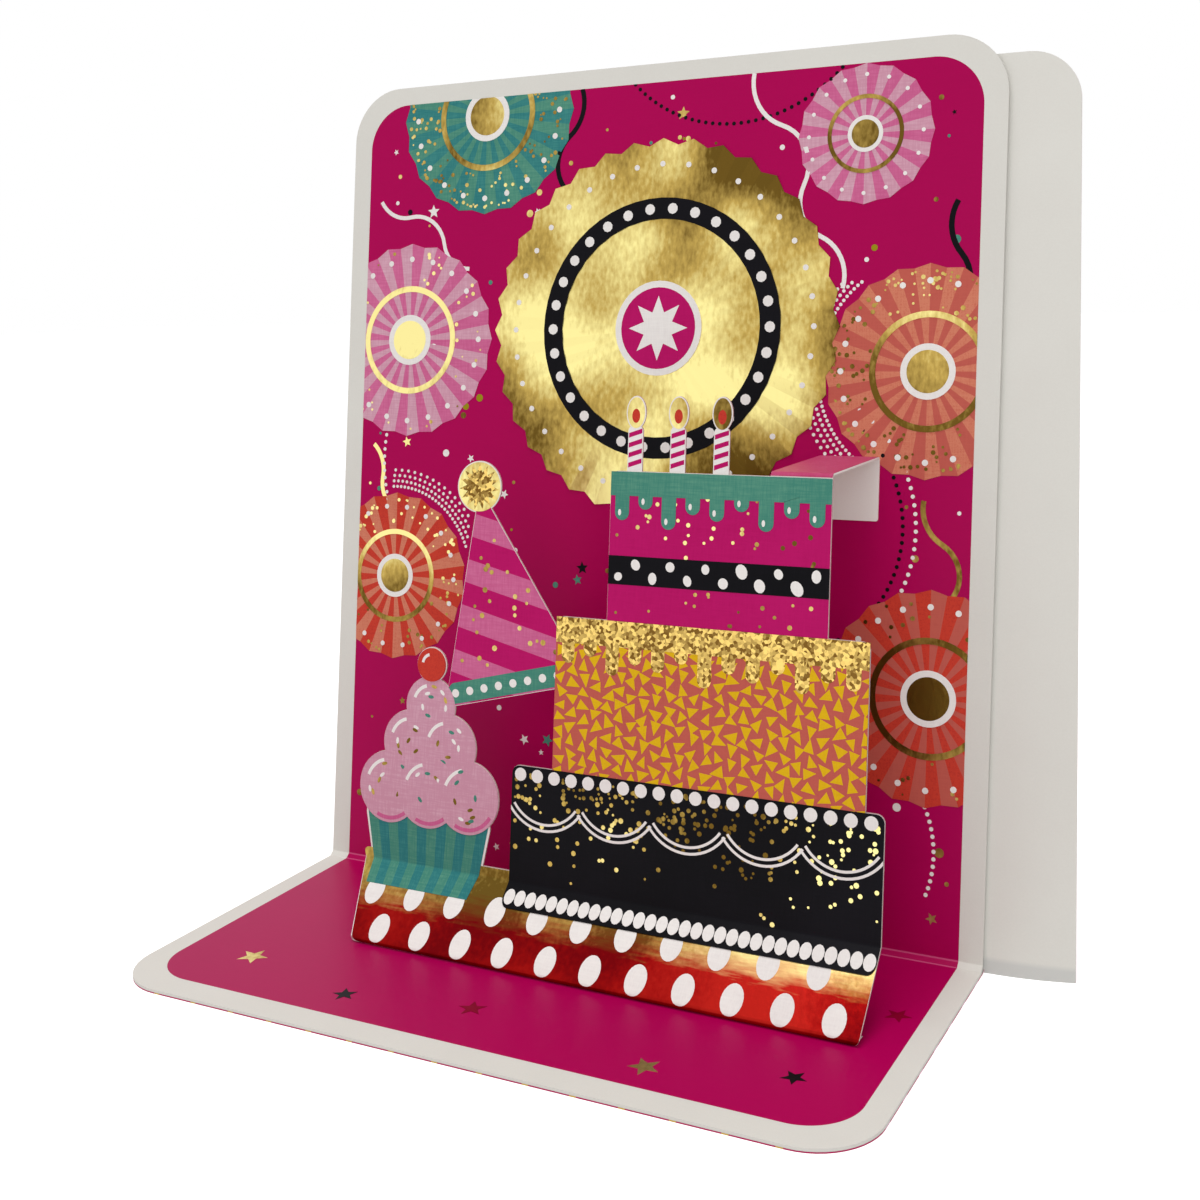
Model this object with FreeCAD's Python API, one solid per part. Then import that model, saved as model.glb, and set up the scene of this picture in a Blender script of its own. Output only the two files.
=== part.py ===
import FreeCAD, Part
import math
import os

# A pop up greeting card that stands open. X runs along the fold to the right, Y away from the
# viewer and Z up. The origin is the centre of the face that the card rests on. The card is three
# sheets: the printed card, the plain cover behind and under it, and the die-cut pop-up sheet.
# Lengths are in millimetres and angles in degrees.

# The printed card: a tall back panel and a shorter base, one sheet with a doubly creased fold.
card_width = 152.0
panel_height = 178.0
base_depth = 71.5
lean_angle = 7.5
card_thickness = 0.45
card_corner_radius = 12.0
spine_width = 1.4
crease_radius = 0.35

# The cover: one plain sheet, glued under the base and folded up behind the back panel. Its leaf
# stands out past the card's right side, where it curls back a little. It was cut slightly askew:
# the overhang is narrower at the top than at the bottom.
cover_thickness = 0.35
leaf_height = 174.0
leaf_overhang = 16.7
leaf_top_inset = 3.8
leaf_corner_radius = 9.5
leaf_gap = 0.6
cover_bend_radius = 1.2
leaf_curl_radius = 58.0

# The pop-up sheet: an upright layer, a skirt that slopes forward to the base, a foot flap turned
# back under it, and a strap that reaches back to the panel and ends in a glue tab.
popup_thickness = 0.35
fold_radius = 0.8
layer_distance = 27.4
crease_height = 12.9
foot_distance = 39.5
foot_flap_depth = 10.0
foot_flap_slant = 4.0
strap_height = 95.5
strap_width = 12.0
strap_left = 117.0
tab_length = 12.7
tab_corner_radius = 0.5

# The die-cut outline in the front view: distances from the card's left side, and heights over
# the base. Each row of icing rises from the one below it, each tier steps in from the one below
# it, and the hat spans from the cupcake's icing to the cake.
cloth_left = 28.2
cloth_foot_left = 34.2
cloth_right = 140.6
cloth_height = 15.0
block_corner_radius = 1.6
wrapper_height = 24.0
wrapper_bottom_width = 25.0
wrapper_top_width = 31.0
cupcake_centre = 44.0
lower_icing_lobes = 3
lower_icing_spacing = 9.6
lower_icing_rise = 4.0
lower_icing_radius = 7.4
upper_icing_lobes = 2
upper_icing_spacing = 9.0
upper_icing_rise = 9.5
upper_icing_radius = 6.8
icing_top_rise = 8.0
icing_top_radius = 6.0
cherry_radius = 3.6
cherry_sink = 1.2
cake_clearance = 4.5
tier_overlap = 4.0
bottom_tier_top = 36.0
middle_tier_left_step = 9.0
middle_tier_right_step = 3.6
middle_tier_top = 66.0
top_tier_left_step = 11.0
candle_width = 3.2
candle_corner_radius = 1.2
candle_inset = 5.0
candle_spacing = 9.0
candle_count = 3
candle_length = 8.0
flame_height = 6.4
flame_width = 4.2
flame_sink = 0.8
hat_corner_offset = 3.5
hat_corner_rise = 8.0
hat_tier_overlap = 7.5
hat_height = 42.2
pompom_radius = 5.2

# Sizes that follow from the ones above.
along_x = FreeCAD.Vector(1, 0, 0)
upward = FreeCAD.Vector(0, 0, 1)
backward = FreeCAD.Vector(0, 1, 0)
lean = math.radians(lean_angle)
panel_up = FreeCAD.Vector(0, math.sin(lean), math.cos(lean))
panel_back = FreeCAD.Vector(0, math.cos(lean), -math.sin(lean))
card_left = -card_width / 2
fold_y = base_depth / 2
front_y = -base_depth / 2
base_top = cover_thickness + card_thickness
strap_right = strap_left + strap_width
lower_icing_height = wrapper_height + lower_icing_rise
upper_icing_height = lower_icing_height + upper_icing_rise
icing_top_height = upper_icing_height + icing_top_rise
bottom_tier_left = cupcake_centre + wrapper_top_width / 2 + cake_clearance
middle_tier_left = bottom_tier_left + middle_tier_left_step
middle_tier_right = cloth_right - middle_tier_right_step
top_tier_left = middle_tier_left + top_tier_left_step
candle_first = top_tier_left + candle_inset


def bent_path(points, radius):
    """Straight runs from point to point, joined by tangent arcs of one radius."""
    edges = []
    start = points[0]
    for before, corner, after in zip(points, points[1:], points[2:]):
        incoming = (corner - before).normalize()
        outgoing = (after - corner).normalize()
        half_turn = incoming.getAngle(outgoing) / 2
        setback = radius * math.tan(half_turn)
        arc_start = corner - incoming * setback
        arc_end = corner + outgoing * setback
        inward = (outgoing - incoming).normalize()
        arc_middle = corner + inward * (radius / math.cos(half_turn) - radius)
        edges.append(Part.LineSegment(start, arc_start).toShape())
        edges.append(Part.Arc(arc_start, arc_middle, arc_end).toShape())
        start = arc_end
    edges.append(Part.LineSegment(start, points[-1]).toShape())
    return Part.Wire(edges)


def bent_sheet(points, radius, thickness, left, right):
    """A folded strip between two places along X. Its side view follows the points with one
    face, and its thickness lies on the side that is on the right hand along the path."""
    path = bent_path(points, radius)
    section = path.makeOffset2D(thickness, 0, True, True, False)
    section.translate(along_x * left)
    return section.extrude(along_x * (right - left))


def short_edges_at(solid, length, condition):
    """The edges across a sheet's thickness whose middle meets a condition."""
    found = []
    for edge in solid.Edges:
        if abs(edge.Length - length) < length / 4 and condition(edge.CenterOfMass):
            found.append(edge)
    return found


def side_point(y, z):
    return FreeCAD.Vector(0, y, z)


def on_panel(distance_up):
    """A point of the side view on the back panel's printed face."""
    return side_point(fold_y, base_top) + panel_up * distance_up


def on_layer(height):
    """A point of the side view on the pop-up layer's printed face, at a height over the base."""
    foot_of_layer = side_point(fold_y - layer_distance, base_top)
    return foot_of_layer + panel_up * (height / math.cos(lean))


def make_card():
    """The back panel, the two creases of the spine and the base, folded from one sheet."""
    half_turn = math.radians(90 - lean_angle) / 2
    setback = spine_width / 2 / math.cos(half_turn)
    path = [
        side_point(front_y, base_top),
        side_point(fold_y - setback, base_top),
        on_panel(setback),
        on_panel(panel_height),
    ]
    sheet = bent_sheet(path, crease_radius, card_thickness, card_left, card_left + card_width)
    ends = (front_y + card_thickness, on_panel(panel_height).z - card_thickness)
    corners = short_edges_at(
        sheet, card_thickness, lambda middle: middle.y < ends[0] or middle.z > ends[1]
    )
    return sheet.makeFillet(card_corner_radius, corners)


def on_leaf(distance_up):
    """A point of the side view on the cover leaf's front face, which lies behind the panel."""
    behind_panel = panel_back * (card_thickness + leaf_gap)
    foot = on_panel(0) + behind_panel
    foot = foot + panel_up * ((cover_thickness - foot.z) / panel_up.z)
    return foot + panel_up * distance_up


def rounded_polygon(corners, radius):
    """A flat face with straight sides and every corner rounded."""
    start = (corners[-1] + corners[0]) * 0.5
    return Part.Face(bent_path([start] + corners + [start], radius))


def make_leaf_overhang():
    """The leaf's free strip beyond the card's right side: it curls back along an arc."""
    curl = (leaf_overhang + leaf_top_inset) / leaf_curl_radius
    card_right = card_left + card_width
    centre = on_leaf(0) + along_x * card_right + panel_back * leaf_curl_radius

    def on_curl(angle):
        return centre + (along_x * math.sin(angle) - panel_back * math.cos(angle)) * leaf_curl_radius

    arc = Part.Wire(Part.Arc(on_curl(0), on_curl(curl / 2), on_curl(curl)).toShape())
    strip = arc.makeOffset2D(cover_thickness, 0, True, True, False)
    strip.translate(panel_up * -leaf_height / 2)
    strip = strip.extrude(panel_up * leaf_height * 2)
    top_overhang = leaf_overhang - leaf_top_inset
    leaf_left = on_leaf(0) + along_x * card_left
    top_left = leaf_left + panel_up * leaf_height
    bottom_right = on_leaf(0) + along_x * on_curl(leaf_overhang / leaf_curl_radius).x
    top_right = on_leaf(leaf_height) + along_x * on_curl(top_overhang / leaf_curl_radius).x
    below_left = leaf_left + (leaf_left - top_left) * 0.5
    below_right = bottom_right + (bottom_right - top_right) * 0.5
    outline = rounded_polygon([below_left, top_left, top_right, below_right], leaf_corner_radius)
    outline.translate(panel_back * -leaf_overhang)
    strip = strip.common(outline.extrude(panel_back * leaf_overhang * 2))
    table = Part.makePlane(card_width * 2, card_width * 2, FreeCAD.Vector(0, -card_width, 0))
    return strip.common(table.extrude(upward * panel_height * 2))


def make_cover():
    """The cover: a liner under the base and the plain leaf, rounded at its top corners."""
    path = [side_point(front_y, cover_thickness), on_leaf(0), on_leaf(leaf_height)]
    sheet = bent_sheet(path, cover_bend_radius, cover_thickness, card_left, card_left + card_width)
    liner_front = front_y + cover_thickness
    corners = short_edges_at(sheet, cover_thickness, lambda middle: middle.y < liner_front)
    sheet = sheet.makeFillet(card_corner_radius, corners)
    leaf_top = on_leaf(leaf_height).z - leaf_corner_radius
    corners = short_edges_at(
        sheet, cover_thickness, lambda middle: middle.z > leaf_top and middle.x < 0
    )
    sheet = sheet.makeFillet(leaf_corner_radius, corners)
    return sheet.fuse(make_leaf_overhang()).removeSplitter()


def front_point(x, height):
    """A point of the front view, from the card's left side and over the base."""
    return FreeCAD.Vector(card_left + x, front_y, base_top + height)


def front_block(left, right, bottom, top, radius=block_corner_radius):
    """A rectangle of the front view with rounded corners."""
    corners = [
        front_point(left, bottom),
        front_point(left, top),
        front_point(right, top),
        front_point(right, bottom),
    ]
    return rounded_polygon(corners, radius)


def front_disc(x, height, radius):
    return Part.Face(Part.Wire(Part.Circle(front_point(x, height), backward, radius).toShape()))


def cake_outline():
    """Three tiers, each standing a little way into the one below it."""
    return [
        front_block(bottom_tier_left, cloth_right, crease_height - tier_overlap, bottom_tier_top),
        front_block(
            middle_tier_left, middle_tier_right, bottom_tier_top - tier_overlap, middle_tier_top
        ),
        front_block(
            top_tier_left, strap_right, middle_tier_top - tier_overlap, strap_height - fold_radius
        ),
    ]


def candle_outline(centre):
    """A candle on the top tier, with its flame."""
    wick = strap_height + candle_length
    half = candle_width / 2
    foot = strap_height - tier_overlap
    stem = front_block(centre - half, centre + half, foot, wick, candle_corner_radius)
    flame_middle = wick + flame_height / 2 - flame_sink
    flame = Part.Ellipse(
        front_point(centre, flame_middle + flame_height / 2),
        front_point(centre + flame_width / 2, flame_middle),
        front_point(centre, flame_middle),
    )
    return [stem, Part.Face(Part.Wire(flame.toShape()))]


def icing_row(lobes, spacing, height, radius):
    """A row of round icing lobes side by side, with its middle over the cupcake's."""
    first = cupcake_centre - spacing * (lobes - 1) / 2
    return [front_disc(first + spacing * lobe, height, radius) for lobe in range(lobes)]


def cupcake_outline():
    """A case that widens upwards, two rows of icing, a round top and a cherry."""
    half_bottom = wrapper_bottom_width / 2
    half_top = wrapper_top_width / 2
    foot = crease_height - tier_overlap
    corners = [
        front_point(cupcake_centre - half_bottom, foot),
        front_point(cupcake_centre - half_top, wrapper_height),
        front_point(cupcake_centre + half_top, wrapper_height),
        front_point(cupcake_centre + half_bottom, foot),
    ]
    shapes = [rounded_polygon(corners, block_corner_radius)]
    shapes += icing_row(
        lower_icing_lobes, lower_icing_spacing, lower_icing_height, lower_icing_radius
    )
    shapes += icing_row(
        upper_icing_lobes, upper_icing_spacing, upper_icing_height, upper_icing_radius
    )
    shapes.append(front_disc(cupcake_centre, icing_top_height, icing_top_radius))
    cherry_height = icing_top_height + icing_top_radius + cherry_radius - cherry_sink
    shapes.append(front_disc(cupcake_centre, cherry_height, cherry_radius))
    return shapes


def hat_outline():
    """A cone hat with a pompom. Its base reaches from the cupcake's icing into the middle tier,
    higher on the right, so the hat leans to the left."""
    left = front_point(cupcake_centre + hat_corner_offset, icing_top_height)
    right_height = icing_top_height + hat_corner_rise
    right = front_point(middle_tier_left + hat_tier_overlap, right_height)
    axis = backward.cross(left - right).normalize()
    tip = (left + right) * 0.5 + axis * hat_height
    cone = rounded_polygon([left, tip, right], block_corner_radius)
    pompom = Part.Face(Part.Wire(Part.Circle(tip, backward, pompom_radius).toShape()))
    return [cone, pompom]


def popup_outline():
    """The whole die-cut outline of the pop-up sheet in the front view, as one flat face."""
    cloth_corners = [
        front_point(cloth_foot_left, 0),
        front_point(cloth_left, cloth_height),
        front_point(cloth_right, cloth_height),
        front_point(cloth_right, 0),
    ]
    cloth = rounded_polygon(cloth_corners, block_corner_radius)
    shapes = cake_outline() + cupcake_outline() + hat_outline()
    for candle in range(candle_count):
        shapes += candle_outline(candle_first + candle_spacing * candle)
    return cloth.multiFuse(shapes).removeSplitter()


def make_foot_flap(foot):
    """The back half of the glue flap, with slanted ends that stay hidden under the skirt."""
    left = card_left + cloth_foot_left + block_corner_radius
    right = card_left + cloth_right - block_corner_radius
    front = foot.y + foot_flap_depth / 2
    back = foot.y + foot_flap_depth
    corners = [
        FreeCAD.Vector(left, front, base_top),
        FreeCAD.Vector(left + foot_flap_slant, back, base_top),
        FreeCAD.Vector(right - foot_flap_slant, back, base_top),
        FreeCAD.Vector(right, front, base_top),
    ]
    return Part.Face(Part.makePolygon(corners + corners[:1])).extrude(upward * popup_thickness)


def make_strap():
    """The strap from the layer's top edge back to the panel, and its glue tab."""
    rise = strap_height / math.cos(lean)
    path = [
        on_layer(strap_height - tier_overlap),
        on_layer(strap_height),
        on_panel(rise),
        on_panel(rise - tab_length),
    ]
    left = card_left + strap_left
    strap = bent_sheet(path, fold_radius, popup_thickness, left, left + strap_width)
    tab_end = on_panel(rise - tab_length).z + popup_thickness
    corners = short_edges_at(
        strap,
        popup_thickness,
        lambda middle: middle.z < tab_end and middle.y > on_layer(strap_height).y + fold_radius,
    )
    return strap.makeFillet(tab_corner_radius, corners)


def make_popup():
    """The pop-up sheet: its folded side view cut out by its outline, with flap and strap."""
    foot = side_point(fold_y - foot_distance, base_top)
    flap_middle = foot + backward * (foot_flap_depth / 2)
    outline = popup_outline()
    above_outline = on_layer(outline.BoundBox.ZMax)
    path = [flap_middle, foot, on_layer(crease_height), above_outline]
    sheet = bent_sheet(path, fold_radius, popup_thickness, card_left, card_left + card_width)
    layer = sheet.common(outline.extrude(backward * base_depth))
    return layer.multiFuse([make_foot_flap(foot), make_strap()]).removeSplitter()


def save(node, shape):
    solids = shape.Solids
    centre = solids[0].CenterOfMass
    box = shape.BoundBox
    print(
        f"{node}: {len(solids)} solid, {shape.Volume:.0f} mm3, centre {centre.y:.1f}, {centre.z:.1f}, "
        f"x {box.XMin:.1f} to {box.XMax:.1f}, y {box.YMin:.1f} to {box.YMax:.1f}, "
        f"z {box.ZMin:.2f} to {box.ZMax:.1f}"
    )
    solids[0].exportStep(f"parts/{node}.step")


os.makedirs("parts", exist_ok=True)
save("printed_card", make_card())
save("plain_cover", make_cover())
save("popup_sheet", make_popup())
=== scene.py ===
# %% [markdown]
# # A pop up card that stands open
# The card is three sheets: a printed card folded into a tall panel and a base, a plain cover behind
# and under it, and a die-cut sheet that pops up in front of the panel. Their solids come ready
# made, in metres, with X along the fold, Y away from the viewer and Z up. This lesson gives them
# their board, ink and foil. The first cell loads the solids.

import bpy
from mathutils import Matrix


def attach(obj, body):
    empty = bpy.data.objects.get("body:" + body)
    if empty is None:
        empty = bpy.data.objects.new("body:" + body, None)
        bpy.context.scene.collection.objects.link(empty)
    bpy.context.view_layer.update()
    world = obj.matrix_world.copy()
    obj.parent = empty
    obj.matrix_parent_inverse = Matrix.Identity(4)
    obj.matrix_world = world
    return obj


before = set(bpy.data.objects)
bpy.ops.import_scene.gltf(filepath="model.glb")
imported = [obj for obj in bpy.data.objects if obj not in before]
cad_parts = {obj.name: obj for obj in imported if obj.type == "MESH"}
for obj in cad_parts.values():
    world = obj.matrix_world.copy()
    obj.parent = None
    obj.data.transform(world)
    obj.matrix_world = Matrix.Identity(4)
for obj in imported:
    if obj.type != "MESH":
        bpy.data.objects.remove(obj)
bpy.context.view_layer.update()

# %% [markdown]
# ## The card's own measures
# Print lies on folded faces, so the lesson needs the folds. The same few measures that shape the
# solids are written here in millimetres, and everything that is printed is laid out flat in
# millimetres too: x from the card's left side, and the height up the panel from the fold.

# %% Measures in millimetres
import itertools
import math
import random

import bmesh
import bpy
from mathutils import Color, Matrix, Vector

MM = 0.001
card_width = 152.0
panel_height = 178.0
base_depth = 71.5
lean = math.radians(7.5)
card_thickness = 0.45
cover_thickness = 0.35
popup_thickness = 0.35
base_top = cover_thickness + card_thickness
fold_y = base_depth / 2
card_left = -card_width / 2
border_side = 4.6
border_top = 4.0
border_front = 5.8
print_corner = 10.0
print("panel", card_width, "by", panel_height, "mm, base", base_depth, "mm deep")

# %% [markdown]
# ## The camera
# A photograph's camera is a place, a direction, a lens and a small roll. The camera here stands to
# the right of the card, a little above its middle, and looks slightly down. The picture was cropped
# off centre, which a lens shift repeats without bending any upright line.

# %% Camera
camera_place = Vector((147.8, -247.4, 132.8)) * MM
camera_turn = math.radians(27.93)
camera_drop = math.radians(6.27)
camera_roll = math.radians(-1.68)
camera = bpy.data.objects.new("card_camera", bpy.data.cameras.new("card_camera"))
bpy.context.scene.collection.objects.link(camera)
camera.data.sensor_width = 36.0
camera.data.lens = 47.19
camera.data.shift_y = -0.125
camera.data.clip_start = 0.01
turn_left = Matrix.Rotation(camera_turn, 4, "Z")
look_down = Matrix.Rotation(math.pi / 2 - camera_drop, 4, "X")
camera.matrix_world = (
    Matrix.Translation(camera_place) @ turn_left @ look_down @ Matrix.Rotation(camera_roll, 4, "Z")
)
bpy.context.scene.camera = camera
bpy.context.scene.view_settings.view_transform = "Standard"
print("camera", tuple(camera_place), "lens", camera.data.lens)

# %% [markdown]
# ## One small helper for shader maths
# A finish is a sum of patterns. Written as nodes, each plus and times is a box to place and wire.
# This class holds one output of a node, so that `1 - mask * 0.5` adds the boxes itself. Every other
# node comes from its `node` method: the type, the settings, and what goes into its sockets.


# %% Socket helper
class Socket:
    """One output of a node, which can be added, multiplied and compared like a number."""

    def __init__(self, tree, output=None):
        self.tree = tree
        self.output = output

    def feed(self, node, values):
        """Fills a node's sockets, each with a value or with what another node gives."""
        for name, value in values.items():
            if isinstance(value, Socket):
                self.tree.links.new(value.output, node.inputs[name])
            else:
                node.inputs[name].default_value = value

    def node(self, kind, settings=None, values=None, output=0):
        """Adds a node: its settings come first, then its sockets, and one output is kept."""
        made = self.tree.nodes.new(kind)
        for name, value in (settings or {}).items():
            if name == "stops":
                fill_ramp(made.color_ramp, value)
            else:
                setattr(made, name, value)
        self.feed(made, values or {})
        return Socket(self.tree, made.outputs[output])

    def math(self, operation, *terms):
        return self.node("ShaderNodeMath", {"operation": operation}, dict(enumerate(terms)))

    def mix(self, first, second):
        """The first colour where this value is 0, and the second where it is 1."""
        return self.node("ShaderNodeMix", {"data_type": "RGBA"}, {0: self, 6: first, 7: second}, 2)

    def split(self):
        """The X, Y and Z of a place."""
        parts = self.node("ShaderNodeSeparateXYZ", {}, {0: self}).output.node.outputs
        return [Socket(self.tree, part) for part in parts]

    def limit(self):
        return self.node("ShaderNodeClamp", {}, {"Value": self})

    def fraction(self):
        return self.math("FRACT", self)

    def at_least(self, other):
        return self.math("MAXIMUM", self, other)

    def at_most(self, other):
        return self.math("MINIMUM", self, other)

    def __add__(self, other):
        return self.math("ADD", self, other)

    def __sub__(self, other):
        return self.math("SUBTRACT", self, other)

    def __rsub__(self, other):
        return self.math("SUBTRACT", other, self)

    def __mul__(self, other):
        return self.math("MULTIPLY", self, other)

    def __truediv__(self, other):
        return self.math("DIVIDE", self, other)

    def __pow__(self, other):
        return self.math("POWER", self, other)

    def __abs__(self):
        return self.math("ABSOLUTE", self)

    def __lt__(self, other):
        return self.math("LESS_THAN", self, other)

    def __gt__(self, other):
        return self.math("GREATER_THAN", self, other)

    __radd__ = __add__
    __rmul__ = __mul__


def fill_ramp(ramp, stops):
    """Sets a colour ramp's stops, each a place and a colour."""
    while len(ramp.elements) < len(stops):
        ramp.elements.new(0.5)
    for element, (place, colour) in zip(ramp.elements, stops):
        element.position = place
        element.color = colour


def ink(red, green, blue):
    """A colour given as a screen shows it, from 0 to 255, as the light that a shader works in."""
    mixed = Color((red / 255, green / 255, blue / 255)).from_srgb_to_scene_linear()
    return (mixed.r, mixed.g, mixed.b, 1.0)


def start_finish(name):
    """A new material, a socket to start its patterns from, and its shader."""
    finish = bpy.data.materials.new(name)
    finish.use_nodes = True
    shader = finish.node_tree.nodes["Principled BSDF"]
    return finish, Socket(finish.node_tree), shader


def position(start, scale=(1.0, 1.0, 1.0)):
    """Where a point is on the card, in millimetres times a scale."""
    place = start.node("ShaderNodeTexCoord", {}, {}, "Object")
    stretch = tuple(factor / MM for factor in scale)
    return start.node("ShaderNodeMapping", {}, {"Vector": place, "Scale": stretch})


def noise(start, where, scale, detail=3.0):
    sockets = {"Vector": where, "Scale": scale, "Detail": detail}
    return start.node("ShaderNodeTexNoise", {}, sockets)


def bump(start, height, strength, depth_mm):
    sockets = {"Height": height, "Strength": strength, "Distance": depth_mm * MM}
    return start.node("ShaderNodeBump", {}, sockets)


print("the socket helper is ready")

# %% [markdown]
# ## A plain pale studio
# The card stands on a white table in soft light. The world sends even light from everywhere, a
# large lamp straight above brightens the base, and a weaker one in front fills in the panel. The
# camera, and anything that shines, sees the world as plain white. The floor adds a little white for
# the same rays alone, so that it melts into the background and still keeps the card's shadow.

# %% Floor, world and lamps
white = (1.0, 1.0, 1.0, 1.0)
world_light = 0.6
floor_tone = 0.8
seen_floor = 1.02


def seen_directly(start):
    """1 for rays from the camera, a shiny surface or a clear one, and 0 for soft light."""
    rays = [
        start.node("ShaderNodeLightPath", {}, {}, name)
        for name in ("Is Camera Ray", "Is Glossy Ray", "Is Transmission Ray")
    ]
    return rays[0].at_least(rays[1]).at_least(rays[2])


world = bpy.data.worlds.new("soft_world")
bpy.context.scene.world = world
world.use_nodes = True
world_start = Socket(world.node_tree)
world_strength = seen_directly(world_start) * (1 - world_light) + world_light
world_start.feed(world.node_tree.nodes["Background"], {"Color": white, "Strength": world_strength})

floor_mesh = bmesh.new()
bmesh.ops.create_grid(floor_mesh, x_segments=1, y_segments=1, size=4.0)
floor_data = bpy.data.meshes.new("floor")
floor_mesh.to_mesh(floor_data)
floor_mesh.free()
floor = bpy.data.objects.new("floor", floor_data)
bpy.context.scene.collection.objects.link(floor)
floor_finish, floor_start, floor_shader = start_finish("white_table")
floor_glow = seen_directly(floor_start) * (seen_floor - floor_tone * world_light)
floor_colour = (floor_tone, floor_tone, floor_tone, 1.0)
floor_start.feed(floor_shader, {"Base Color": floor_colour, "Roughness": 0.9})
glow = floor_start.node("ShaderNodeEmission", {}, {"Color": white, "Strength": floor_glow})
surface = Socket(floor_start.tree, floor_shader.outputs[0])
table = floor_start.node("ShaderNodeAddShader", {}, {0: surface, 1: glow})
floor_start.feed(floor_start.tree.nodes["Material Output"], {"Surface": table})
floor_data.materials.append(floor_finish)


def add_lamp(name, place, aim, size, power):
    """A square soft lamp at a place, aimed at a point."""
    lamp = bpy.data.objects.new(name, bpy.data.lights.new(name, "AREA"))
    bpy.context.scene.collection.objects.link(lamp)
    lamp.data.shape = "SQUARE"
    lamp.data.size = size
    lamp.data.energy = power
    lamp.location = place
    lamp.rotation_mode = "QUATERNION"
    lamp.rotation_quaternion = (Vector(aim) - Vector(place)).to_track_quat("-Z", "Y")
    print(name, power, "W")


card_middle = (0.0, 0.02, 0.08)
add_lamp("overhead_lamp", (0.0, -0.1, 1.3), card_middle, 0.6, 7.2)
add_lamp("front_lamp", (0.35, -1.1, 0.35), card_middle, 0.7, 2.6)
print("studio: world light", world_light)

# %% [markdown]
# ## Board
# Greeting card board is smooth, a little warm, and never one flat white: it has faint clouds, and
# fibres show when light grazes it. Two noises do that: a coarse one for the clouds and a fine one
# for the fibres, which also feeds a very shallow bump.


# %% Board colours and pattern
cream = ink(219, 217, 210)
cream_shade = ink(208, 204, 197)
magenta = ink(176, 0, 84)
magenta_deep = ink(162, 0, 76)
paper_shine = 0.07


def board_colour(start, light, shade):
    """The board's colour with its clouds, and the pattern of its fibres."""
    where = position(start)
    clouds = noise(start, where, 0.06)
    fibres = noise(start, where, 2.6, 4.0)
    mottle = (clouds * 0.6 + fibres * 0.5 - 0.3).limit()
    return mottle.mix(light, shade), fibres


def finish_board(start, shader, colour, grain, roughness=0.62):
    """Dresses a board: its colour, how rough it is, the bump of its fibres and a low shine."""
    sockets = {
        "Base Color": colour,
        "Roughness": roughness,
        "Specular IOR Level": paper_shine,
        "Normal": bump(start, grain, 0.25, 0.03),
    }
    start.feed(shader, sockets)


def dress(node, finish):
    """Gives one of the solids its finish."""
    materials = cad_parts[node].data.materials
    materials.clear()
    materials.append(finish)
    print(node, "wears", finish.name)


print("magenta as light:", [round(part, 3) for part in magenta])

# %% [markdown]
# ## The printed card
# The card keeps its own solid, so its print is a mask on it. Unfolded, the print is one rectangle
# with round corners that runs from the base over the fold and up the panel, inside a cream border.
# The mask asks two things of a point: how far it lies along the unfolded sheet, and how deep under
# the printed face. Only the skin of that face takes ink, so the cut edges stay cream.

# %% Printed card
spine_width = 1.4
half_fold = math.radians(90) / 2 - lean / 2
crease_distance = spine_width / 2 / math.cos(half_fold)
spine_reach = crease_distance * math.sin(half_fold)


def unfolded(start):
    """A point's x, its y and z from the fold, how far along the unfolded sheet it lies, and how
    far behind the panel's printed face."""
    x, y, z = position(start).split()
    y = y - fold_y
    z = z - base_top
    up_panel = y * math.sin(lean) + z * math.cos(lean)
    behind_panel = y * math.cos(lean) - z * math.sin(lean)
    along = up_panel.at_least(0.0) + y.at_most(0.0)
    return x, y, z, along, behind_panel


def rounded_box(x, y, half_width, half_height, corner):
    """1 inside a rectangle with round corners, and 0 outside."""
    across = (abs(x) - (half_width - corner)).at_least(0.0)
    up = (abs(y) - (half_height - corner)).at_least(0.0)
    return (across * across + up * up) < corner * corner


ink_depth = 0.06
crease_half_width = 0.16
crease_wear = 0.35
print_bottom = border_front - base_depth
print_top = panel_height - border_top
print_middle = (print_top + print_bottom) / 2
half_width = card_width / 2 - border_side
half_height = (print_top - print_bottom) / 2

card_finish, card_start, card_shader = start_finish("printed_card_board")
x, y, z, along, behind_panel = unfolded(card_start)
behind_spine = spine_reach - (z * math.cos(half_fold) - y * math.sin(half_fold))
depth = (z * -1.0).at_least(behind_panel).at_least(behind_spine)
print_box = rounded_box(x, along - print_middle, half_width, half_height, print_corner)
print_mask = print_box * (depth < ink_depth)
crease_line = (abs(abs(along) - crease_distance) < crease_half_width) * crease_wear
cream_colour, card_fibres = board_colour(card_start, cream, cream_shade)
drift = noise(card_start, position(card_start), 0.02)
brushing = noise(card_start, position(card_start, (0.3, 1.0, 3.0)), 0.8, 4.0)
magenta_colour = (drift * 0.9 + brushing * 0.35 - 0.15).limit().mix(magenta_deep, magenta)
magenta_colour = crease_line.mix(magenta_colour, ink(225, 120, 165))
card_colour = print_mask.mix(cream_colour, magenta_colour)
card_roughness = 0.6 - print_mask * 0.26
finish_board(card_start, card_shader, card_colour, card_fibres, card_roughness)
dress("printed_card", card_finish)
print("print from", print_bottom, "to", print_top, "mm along the sheet")

# %% [markdown]
# ## The cover
# The cover is plain board inside and printed outside. Its leaf curls back to the right of the
# card, so the depth is measured from the curl's axis there. A soft grey band of painted shade runs
# along the bottom of the leaf, where the board bends round under the card, and the outside print
# shows as a thin line under the base.

# %% Plain cover
leaf_gap = 0.6
leaf_front = card_thickness + leaf_gap
leaf_curl_radius = 58.0
cover_bend = 1.2
bend_height = 2.6
outside_depth = 0.3
edge_print_depth = 0.1
dot_step = 9.0

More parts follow.
